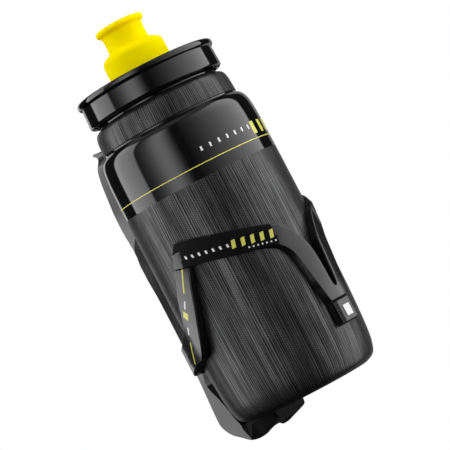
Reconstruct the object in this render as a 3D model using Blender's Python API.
"""A cyclist's squeeze bottle in its moulded bottle cage, as separate working pieces.

Metres, +Z up along the bottle. The origin is the middle of the cage's bolt pattern, on the
flat rear face that lies against a bicycle's frame tube, whose outward normal is +Y. The front
tab faces -Y. Sizes below are in millimetres from the bottle's axis and from its base, and the
empty "bottle_axis" carries that frame. An angle of 0 is at the front tab and grows towards -X.
"""
import math

import bmesh
import bpy

MM = 0.001

# Bottle
BOTTLE_RADIUS = 37.0          # the standard 74 mm bottle
WALL = 1.3                    # squeezable polyethylene
NECK_RADIUS = 28.2
NECK_BORE = 26.2
NECK_TOP = 153.4
RING_TOP = 143.7              # top of the collar below the cap
SEGMENTS = 40                 # facets of a large turned piece

# Screw thread between bottle and cap
PITCH = 4.0
THREAD_START = 147.0
THREAD_TURNS = 1.15
NECK_CREST = 29.6
CAP_CREST = 28.8
RIDGE_ROOT = 1.7              # width of a ridge at its root and at its crest
RIDGE_CREST = 1.0

# Cap, spout and nozzle
CAP_RADIUS = 32.3
CAP_BORE = 30.4
CAP_BOTTOM = 145.2
DECK_UNDER = 155.0
DECK_TOP = 156.6
FLANGE_RADIUS = 33.2
FLANGE_TOP = 158.0
TOWER_RADIUS = 12.4
TOWER_BORE = 11.2
TOWER_TOP = 167.3
STEM_RADIUS = 2.0
PLUG_RADIUS = 3.4
MOUTH_RADIUS = 3.8
NOZZLE_BORE = 8.0
SKIRT_RADIUS = 14.6
NOZZLE_RADIUS = 9.6
NOZZLE_TOP = 182.9

# Cage
GAP = 0.4                     # between the cage and the bottle it holds
CAGE_INNER = BOTTLE_RADIUS + GAP
BAND_OUTER = 40.2
BAND_THINNING = 0.6           # along the waist of a band, about this many degrees from the front
WAIST_ANGLE = 44.0
WAIST_SPREAD = 22.0
STEM_OUTER = 41.4             # the front stem and the struts are thicker than the bands
STRUT_OUTER = 41.6
TAB_OUTER = 38.7              # behind the grip pad
SPINE_BACK = 44.3
RAIL_BACK = 46.5              # the face that bears on the frame tube
SPINE_HALF = 13.0
FIN_INNER = 9.5
BOLT_SPACING = 64.0           # the spacing of every frame's bottle bosses
BOLT_CENTRE = 74.0
SLOT_WIDTH = 5.5
SLOT_LENGTH = 9.0
COUNTERBORE = 10.6
HEAD_SEAT = 41.5
FACET_STEP = 6                # degrees between the folds of a bent plate

# Grip pad and its plate
PAD_HALF = 4.15
PAD_BOTTOM = 20.2
PAD_TOP = 30.0
PAD_FRONT = 40.4
PLATE_HALF = 2.2

# Frame screws, M5
SCREW_RADIUS = 2.45
HEAD_RADIUS = 4.75
HEAD_HEIGHT = 2.75
SCREW_LENGTH = 12.0
SOCKET_ACROSS = 3.0
SOCKET_DEPTH = 1.8


def clear_scene():
    for item in list(bpy.data.objects):
        bpy.data.objects.remove(item, do_unlink=True)


def material(name, colour, roughness, metallic=0.0):
    made = bpy.data.materials.new(name)
    made.use_nodes = True
    shader = made.node_tree.nodes["Principled BSDF"]
    shader.inputs["Base Color"].default_value = (*colour, 1.0)
    shader.inputs["Roughness"].default_value = roughness
    shader.inputs["Metallic"].default_value = metallic
    made.diffuse_color = (*colour, 1.0)
    return made


def add_object(name, shape, look=None):
    """Turn a bmesh in millimetres into an object in metres, with its faces pointing out."""
    bmesh.ops.remove_doubles(shape, verts=shape.verts, dist=1e-5)
    bmesh.ops.recalc_face_normals(shape, faces=shape.faces)
    bmesh.ops.scale(shape, vec=(MM, MM, MM), verts=shape.verts)
    mesh = bpy.data.meshes.new(name)
    shape.to_mesh(mesh)
    shape.free()
    mesh.shade_smooth()
    mesh.set_sharp_from_angle(angle=math.radians(28))
    made = bpy.data.objects.new(name, mesh)
    bpy.context.scene.collection.objects.link(made)
    if look:
        mesh.materials.append(look)
    return made


def combine(body, tool, operation):
    """Cut a tool from a body, or join it on, and drop the tool."""
    step = body.modifiers.new(operation, "BOOLEAN")
    step.operation = operation
    step.solver = "MANIFOLD"
    step.object = tool
    graph = bpy.context.evaluated_depsgraph_get()
    result = bpy.data.meshes.new_from_object(body.evaluated_get(graph))
    body.modifiers.clear()
    body.data = result
    bpy.data.objects.remove(tool, do_unlink=True)
    return body


def finish_edges(body):
    """Merge what a Boolean left a hair apart and shade the round parts smooth."""
    shape = bmesh.new()
    shape.from_mesh(body.data)
    bmesh.ops.dissolve_degenerate(shape, dist=2e-6, edges=shape.edges)
    shape.to_mesh(body.data)
    shape.free()
    body.data.shade_smooth()
    body.data.set_sharp_from_angle(angle=math.radians(28))
    return body


def turned(name, outline, look=None, segments=SEGMENTS):
    """Turn an outline of (radius, height) about Z.

    An outline that starts and ends on the axis closes there; any other is a closed ring.
    """
    shape = bmesh.new()
    rings = []
    for radius, height in outline:
        if radius == 0:
            rings.append([shape.verts.new((0, 0, height))] * segments)
            continue
        ring = []
        for number in range(segments):
            turn = math.tau * number / segments
            ring.append(shape.verts.new((radius * math.cos(turn), radius * math.sin(turn), height)))
        rings.append(ring)
    pairs = list(zip(rings, rings[1:]))
    if outline[0][0] != 0:
        pairs.append((rings[-1], rings[0]))
    for lower, upper in pairs:
        for number in range(segments):
            after = (number + 1) % segments
            corners = [lower[number], lower[after], upper[after], upper[number]]
            shape.faces.new(list(dict.fromkeys(corners)))
    return add_object(name, shape, look)


def prism(name, outline, low, high, place, look=None):
    """Extrude an outline between two heights; place(u, v, w) gives a corner's position."""
    shape = bmesh.new()
    bottom = [shape.verts.new(place(u, v, low)) for u, v in outline]
    top = [shape.verts.new(place(u, v, high)) for u, v in outline]
    shape.faces.new(bottom)
    shape.faces.new(top)
    for number in range(len(outline)):
        after = (number + 1) % len(outline)
        shape.faces.new([bottom[number], bottom[after], top[after], top[number]])
    bmesh.ops.triangulate(shape, faces=[face for face in shape.faces if len(face.verts) > 4])
    return add_object(name, shape, look)


def across_y(x, z, y):
    return x, y, z


def across_x(y, z, x):
    return x, y, z


def upright(x, y, z):
    return x, y, z


def bent_plate(name, outline, inner, outer, look=None, levels=()):
    """Bend a flat outline of (degrees, height) round the bottle's axis.

    outer(angle, height) gives the outer radius, so that a plate can thicken along its length.
    """
    shape = bmesh.new()
    flat = shape.faces.new([shape.verts.new((angle, height, 0)) for angle, height in outline])
    bmesh.ops.triangulate(shape, faces=[flat])
    first = math.ceil(min(angle for angle, _ in outline) / FACET_STEP)
    last = math.floor(max(angle for angle, _ in outline) / FACET_STEP)
    folds = [((FACET_STEP * number, 0, 0), (1, 0, 0)) for number in range(first, last + 1)]
    folds += [((0, level, 0), (0, 1, 0)) for level in levels]
    for point, normal in folds:
        everything = shape.verts[:] + shape.edges[:] + shape.faces[:]
        bmesh.ops.bisect_plane(shape, geom=everything, plane_co=point, plane_no=normal, dist=1e-4)

    flat_faces = shape.faces[:]
    rim = [edge for edge in shape.edges if edge.is_boundary]
    inside, outside = {}, {}
    for corner in shape.verts[:]:
        angle, height, _ = corner.co
        turn = math.radians(angle)
        for found, radius in ((inside, inner), (outside, outer(angle, height))):
            found[corner] = shape.verts.new((-radius * math.sin(turn), -radius * math.cos(turn), height))
    for face in flat_faces:
        shape.faces.new([outside[corner] for corner in face.verts])
        shape.faces.new([inside[corner] for corner in face.verts])
    for edge in rim:
        one, two = edge.verts
        shape.faces.new([inside[one], inside[two], outside[two], outside[one]])
    bmesh.ops.delete(shape, geom=list(inside), context="VERTS")
    return add_object(name, shape, look)


def mirrored(outline):
    """The other half of an outline that is symmetric about 0, in drawing order."""
    return [(-across, height) for across, height in reversed(outline) if across != 0]


def thread_ridge(name, root, crest, start, turns):
    """A helical ridge from the root radius to the crest, centred on the height start."""
    shape = bmesh.new()
    steps = round(turns * SEGMENTS)
    first = round(start[1] * SEGMENTS)
    sections = []
    for number in range(first, first + steps + 1):
        turn = math.tau * number / SEGMENTS
        height = start[0] + PITCH * number / SEGMENTS
        corners = []
        for radius, offset in (
            (root, -RIDGE_ROOT / 2), (crest, -RIDGE_CREST / 2),
            (crest, RIDGE_CREST / 2), (root, RIDGE_ROOT / 2),
        ):
            corners.append(shape.verts.new(
                (radius * math.cos(turn), radius * math.sin(turn), height + offset)))
        sections.append(corners)
    for one, two in zip(sections, sections[1:]):
        for number in range(4):
            after = (number + 1) % 4
            shape.faces.new([one[number], one[after], two[after], two[number]])
    shape.faces.new(sections[0])
    shape.faces.new(sections[-1])
    bmesh.ops.triangulate(shape, faces=shape.faces[:])
    return add_object(name, shape)


# ---------------------------------------------------------------- bottle

def bottle_outline():
    outside = [
        (0, 2.2), (22, 1.8), (26.2, 0), (29, 0), (31, 0.8), (33, 2.3), (34.7, 6.8), (35.4, 11.2),
        (35.8, 15.6), (36.3, 24.4), (36.7, 35.5), (BOTTLE_RADIUS, 60), (BOTTLE_RADIUS, 77),
        (36.8, 117), (36.2, 126), (34.9, 129.6), (33.6, 131.3), (32.2, 131.5), (32.2, 132.3),
        (32.7, 132.4), (32.4, 136), (31.6, 142), (NECK_RADIUS, RING_TOP),
        (NECK_RADIUS, NECK_TOP - 0.4), (NECK_RADIUS - 0.4, NECK_TOP),
    ]
    inside = [
        (NECK_BORE, NECK_TOP), (NECK_BORE, RING_TOP - 0.6), (30.3, 141), (30.9, 135), (30.9, 130.9),
        (33.4, 128.8), (34.8, 125), (35.5, 117), (BOTTLE_RADIUS - WALL, 77), (35.4, 35.5),
        (34.5, 15.6), (33.4, 7.2), (31.8, 3.4), (29, 1.6), (26, 1.6), (21.8, 3.4), (0, 3.8),
    ]
    return outside + inside


def make_bottle(look):
    body = turned("bottle_body", bottle_outline(), look)
    ridge = thread_ridge("ridge", NECK_RADIUS - 0.6, NECK_CREST, (THREAD_START, 0), THREAD_TURNS)
    return finish_edges(combine(body, ridge, "UNION"))


# ---------------------------------------------------------------- cap, seal, post and nozzle

def make_cap(look):
    """Skirt, flange, dished deck and the tower that the nozzle slides on, in one moulding."""
    outline = [
        (CAP_BORE, CAP_BOTTOM + 0.4), (CAP_BORE + 0.5, CAP_BOTTOM), (31.4, CAP_BOTTOM),
        (CAP_RADIUS, CAP_BOTTOM + 0.7), (31.9, DECK_UNDER - 0.2), (32.6, DECK_UNDER),
        (FLANGE_RADIUS, 155.8), (FLANGE_RADIUS, 157.2), (32.6, FLANGE_TOP), (31, FLANGE_TOP),
        (28.5, DECK_TOP), (TOWER_RADIUS, DECK_TOP), (TOWER_RADIUS, TOWER_TOP - 1.3),
        (TOWER_RADIUS + 0.65, TOWER_TOP - 1), (TOWER_RADIUS + 0.65, TOWER_TOP - 0.3),
        (TOWER_RADIUS, TOWER_TOP), (TOWER_BORE, TOWER_TOP), (TOWER_BORE, 156.0), (9.6, 156.0),
        (9.6, DECK_UNDER), (CAP_BORE, DECK_UNDER),
    ]
    cap = turned("cap_shell", outline, look)
    # half a pitch away from the bottle's ridge, on the same helix
    ridge = thread_ridge("ridge", CAP_BORE + 0.6, CAP_CREST, (THREAD_START + PITCH / 2, -0.6), 1.25)
    return finish_edges(combine(cap, ridge, "UNION"))


def make_seal(look):
    low, high = NECK_TOP + 0.3, DECK_UNDER - 0.3
    return turned("cap_seal", [(25.6, low), (28, low), (28, high), (25.6, high)], look)


def make_post(look):
    """The fixed pin whose plug closes the nozzle's mouth, on a disc with four flow windows."""
    outline = [
        (0, 156.3), (TOWER_BORE - 0.3, 156.3), (TOWER_BORE - 0.3, 157.6), (3.2, 157.6),
        (STEM_RADIUS, 159), (STEM_RADIUS, 178), (PLUG_RADIUS, 179.6), (PLUG_RADIUS, 182),
        (2.8, 182.5), (0, 182.5),
    ]
    post = turned("spout_post", outline, look, segments=24)
    for quarter in range(4):
        turn = math.tau * (quarter + 0.5) / 4
        centre = (7 * math.cos(turn), 7 * math.sin(turn))
        window = [(centre[0] + 2.2 * math.cos(math.tau * n / 12),
                   centre[1] + 2.2 * math.sin(math.tau * n / 12)) for n in range(12)]
        combine(post, prism("window", window, 155, 158.4, upright), "DIFFERENCE")
    return finish_edges(post)


def make_nozzle(look):
    """The soft mouthpiece: rim, neck and the skirt that slides on the cap's tower."""
    outline = [
        (MOUTH_RADIUS, NOZZLE_TOP - 0.5), (MOUTH_RADIUS + 0.6, NOZZLE_TOP), (9.8, NOZZLE_TOP),
        (11.2, 182.2), (11.5, 181.2), (11, 180.2), (NOZZLE_RADIUS, 179.3), (NOZZLE_RADIUS, 171.4),
        (13.3, 169.9), (14.4, 168.4), (SKIRT_RADIUS, 167.2), (SKIRT_RADIUS, 158.5), (13, 158.5),
        (12.75, 158.9), (12.75, 159.5), (13.4, 160.1), (13.4, 168.2), (12.4, 169), (NOZZLE_BORE, 170.2),
        (NOZZLE_BORE, 180), (MOUTH_RADIUS, 181.2),
    ]
    return turned("nozzle_sleeve", outline, look, segments=32)


# ---------------------------------------------------------------- cage

def bow_outline():
    """One half of the front bow laid flat, from the slot's foot round to the tab's foot."""
    slot_and_top = [
        (0, 35.8), (1, 36.6), (1.6, 38.4), (2, 41.5), (2.8, 47), (3.9, 52.5), (5.3, 57.5), (8.8, 62.7),
        (13.6, 67.5), (18, 70.4),
        (24, 72.4), (36, 75), (48, 77.4), (60, 79.8), (72, 82), (83, 83.9), (85.3, 83.6), (87, 82),
    ]
    end_and_bottom = [
        (92.6, 73.4), (81, 71.4), (66, 69.4), (48, 66.4), (30, 64), (24.1, 62.3), (20.2, 60),
        (17.6, 56.8), (16.2, 53), (14.1, 45), (12, 38.8), (9.6, 31.5), (9, 20.5), (7.6, 19.2),
    ]
    return slot_and_top + end_and_bottom


def bow_thickness(angle, height):
    """Thin behind the pad, thickest up the stem, thinnest along the waist of each band."""
    if height < 31:
        return TAB_OUTER
    rise = min(max((66 - height) / 16, 0), 1)
    waist = max(1 - abs(abs(angle) - WAIST_ANGLE) / WAIST_SPREAD, 0)
    band = BAND_OUTER - BAND_THINNING * waist
    return band + (STEM_OUTER - band) * rise * rise * (3 - 2 * rise)


def make_bow(look):
    """The front bow: two bands that meet in a slotted stem, with a pocket at each end."""
    half = bow_outline()
    bow = bent_plate("cage_bow", half + mirrored(half), CAGE_INNER, bow_thickness, look,
                     levels=(30.6, 31.4, 50, 55, 61, 66))
    for side in (-1, 1):
        pocket = [(82, 64), (90, 64), (89.5, 74.2), (86.6, 78.9), (82, 79.3)]
        cutter = bent_plate("pocket", [(side * a, z) for a, z in pocket], CAGE_INNER - 1,
                            lambda angle, height: 39.0)
        combine(bow, cutter, "DIFFERENCE")
    return finish_edges(bow)


def strut_outline():
    """A strut laid flat: from under the band's end, down and back into the spine."""
    front_edge = [
        (80.8, 71), (85.5, 63.6), (90.2, 55.1), (94.3, 48.7), (99.4, 41), (105.2, 34.8), (112, 33),
        (125, 31), (140, 28.8), (166, 27.6),
    ]
    back_edge = [
        (166, 41.5), (152, 41), (140, 41.3), (127, 42.8), (117, 45.7), (110.5, 49), (106, 53),
        (102.9, 58.1), (98.9, 63.7), (95.2, 67.9), (92.6, 73),
    ]
    return front_edge + back_edge


def bottle_envelope():
    """The room that the cage leaves for the bottle, a little larger than the bottle itself."""
    outline = [
        (0, -GAP), (29, -GAP), (31.6, 0.5), (33.5, 2.1), (35.1, 6.6), (35.9, 11), (36.3, 15.6),
        (36.8, 24.4), (CAGE_INNER, 42), (CAGE_INNER, 150), (0, 150),
    ]
    return turned("envelope", outline, segments=72)


def make_spine(look):
    """The rear frame of the cage: spine, mounting rail, foot scoop and both struts."""
    side = [
        (33, 18), (SPINE_BACK, 18), (SPINE_BACK, 117), (44, 126), (43.4, 130.6), (42.8, 132.8),
        (42.7, 134.6), (43.3, 135.9), (45.6, 137.4), (45.5, 138.5), (42, 137.9), (39.5, 136.9), (38, 135),
        (37, 130), (33, 130),
    ]
    spine = prism("cage_spine", side, -SPINE_HALF - 1, SPINE_HALF + 1, across_x, look)
    half = [(SPINE_HALF, 17), (SPINE_HALF, 93), (11.6, 108), (10.6, 117), (9.4, 126), (8.6, 130.8),
            (7.3, 133.2), (5.4, 135.4), (5, 139)]
    combine(spine, prism("front", half + mirrored(half), 30, 48, across_y), "INTERSECT")
    section = [(9, 47), (11.2, 44.9), (SPINE_HALF + 0.5, 38.9), (9.5, 34.3), (9.5, 32)]
    combine(spine, prism("section", section + mirrored(section), 10, 140, upright), "INTERSECT")

    foot = [
        (43.9, 26), (43.9, 22), (44.5, 14), (44.9, 8), (44.3, 2.5), (41, -2.4), (36.6, -5.3), (33.2, -7.6),
        (28, -9.1), (23.2, -7.8), (19.1, -6.6), (14.4, -4.8), (13.6, -3.9), (13.6, 1), (30, 1), (33, 24),
    ]
    combine(spine, prism("foot", foot, -SPINE_HALF, SPINE_HALF, across_x), "UNION")
    hollow = [
        (50, 26), (41.1, 22), (39.9, 14), (39.8, 8), (39, 3), (36.7, -0.8), (34.7, -2.8), (31.3, -5.7),
        (28, -7.1), (22, -7.1), (22, -12), (50, -12),
    ]
    combine(spine, prism("hollow", hollow, -FIN_INNER, FIN_INNER, across_x), "DIFFERENCE")

    low, high = BOLT_CENTRE - 43, BOLT_CENTRE + 43
    rail = [(4, low), (7, low + 4), (7, high - 4), (4, high)]
    combine(spine, prism("rail", rail + mirrored(rail), 41, RAIL_BACK, across_y), "UNION")
    combine(spine, bottle_envelope(), "DIFFERENCE")

    for side in (-1, 1):
        strut = [(side * a, z) for a, z in strut_outline()]
        combine(spine, bent_plate("strut", strut, CAGE_INNER + 0.1, lambda a, z: STRUT_OUTER), "UNION")
        tongue = [(side * a, z) for a, z in ((82.5, 68), (89.5, 68), (89, 74), (86, 78.5), (82.5, 78.5))]
        combine(spine, bent_plate("tongue", tongue, CAGE_INNER + 0.05, lambda a, z: 38.6), "UNION")

    for height in bolt_heights():
        through = stadium(SLOT_WIDTH / 2, SLOT_LENGTH, height)
        combine(spine, prism("slot", through, 30, 50, across_y), "DIFFERENCE")
        seat = stadium(COUNTERBORE / 2, COUNTERBORE + SLOT_LENGTH - SLOT_WIDTH, height)
        combine(spine, prism("seat", seat, 30, HEAD_SEAT, across_y), "DIFFERENCE")
    return finish_edges(spine)


def bolt_heights():
    return BOLT_CENTRE - BOLT_SPACING / 2, BOLT_CENTRE + BOLT_SPACING / 2


def stadium(radius, length, height):
    """An upright slot's outline, with round ends of six facets each."""
    straight = length / 2 - radius
    points = []
    for number in range(14):
        turn = math.pi * (number if number < 7 else number - 1) / 6
        shift = straight if number < 7 else -straight
        points.append((radius * math.cos(turn), height + shift + radius * math.sin(turn)))
    return points


def make_pad(look):
    """The elastomer pad that grips the bottle's front, on the tab."""
    back = TAB_OUTER + 0.3
    section = [(PAD_HALF + 1.2, -back), (PAD_HALF, -(PAD_FRONT - 0.3)), (PAD_HALF - 0.5, -PAD_FRONT)]
    outline = section + mirrored(section)
    return prism("grip_pad", outline, PAD_BOTTOM, PAD_TOP, upright, look)


def make_plate(look):
    """The small blank plate on the front of the pad."""
    half = [(PLATE_HALF, 22.1), (PLATE_HALF, 27.2)]
    outline = half + mirrored(half)
    front = PAD_FRONT + 0.3
    return prism("grip_plate", outline, -front, -front - 0.4, across_y, look)


def make_screw(name, height, look):
    """A button-head M5 frame screw, head towards the bottle, pointing along +Y."""
    outline = [
        (0, -HEAD_HEIGHT), (2.9, -HEAD_HEIGHT), (4.2, -1.7), (HEAD_RADIUS, -0.5), (HEAD_RADIUS, 0),
        (SCREW_RADIUS, 0), (SCREW_RADIUS, SCREW_LENGTH - 0.6), (SCREW_RADIUS - 0.6, SCREW_LENGTH),
        (0, SCREW_LENGTH),
    ]
    screw = turned(name, outline, look, segments=20)
    corner = SOCKET_ACROSS / math.sqrt(3)
    hexagon = [(corner * math.cos(math.tau * n / 6), corner * math.sin(math.tau * n / 6))
               for n in range(6)]
    socket = prism("socket", hexagon, -HEAD_HEIGHT - 1, SOCKET_DEPTH - HEAD_HEIGHT, upright)
    combine(screw, socket, "DIFFERENCE")
    screw.location = (0, (HEAD_SEAT - 0.3) * MM, height * MM)
    screw.rotation_euler = (-math.pi / 2, 0, 0)
    return finish_edges(screw)


def main():
    clear_scene()
    brushed = material("bottle_plastic", (0.06, 0.06, 0.062), 0.4)
    gloss = material("cap_plastic", (0.012, 0.012, 0.013), 0.12)
    yellow = material("nozzle_yellow", (0.87, 0.66, 0.01), 0.45)
    clear = material("post_plastic", (0.55, 0.55, 0.55), 0.4)
    rubber = material("seal_rubber", (0.35, 0.35, 0.35), 0.7)
    moulded = material("cage_plastic", (0.035, 0.035, 0.037), 0.42)
    soft = material("pad_rubber", (0.09, 0.09, 0.09), 0.7)
    white = material("plate_white", (0.8, 0.8, 0.8), 0.4)
    steel = material("screw_steel", (0.5, 0.5, 0.52), 0.3, 1.0)

    pieces = [
        make_spine(moulded), make_bow(moulded), make_pad(soft), make_plate(white),
        make_bottle(brushed), make_seal(rubber), make_cap(gloss), make_post(clear),
        make_nozzle(yellow),
    ]
    for name, height in zip(("screw_lower", "screw_upper"), bolt_heights()):
        pieces.append(make_screw(name, height, steel))

    axis = bpy.data.objects.new("bottle_axis", None)
    bpy.context.scene.collection.objects.link(axis)
    axis.location = (0, -RAIL_BACK * MM, -BOLT_CENTRE * MM)
    for piece in pieces:
        piece.parent = axis


main()
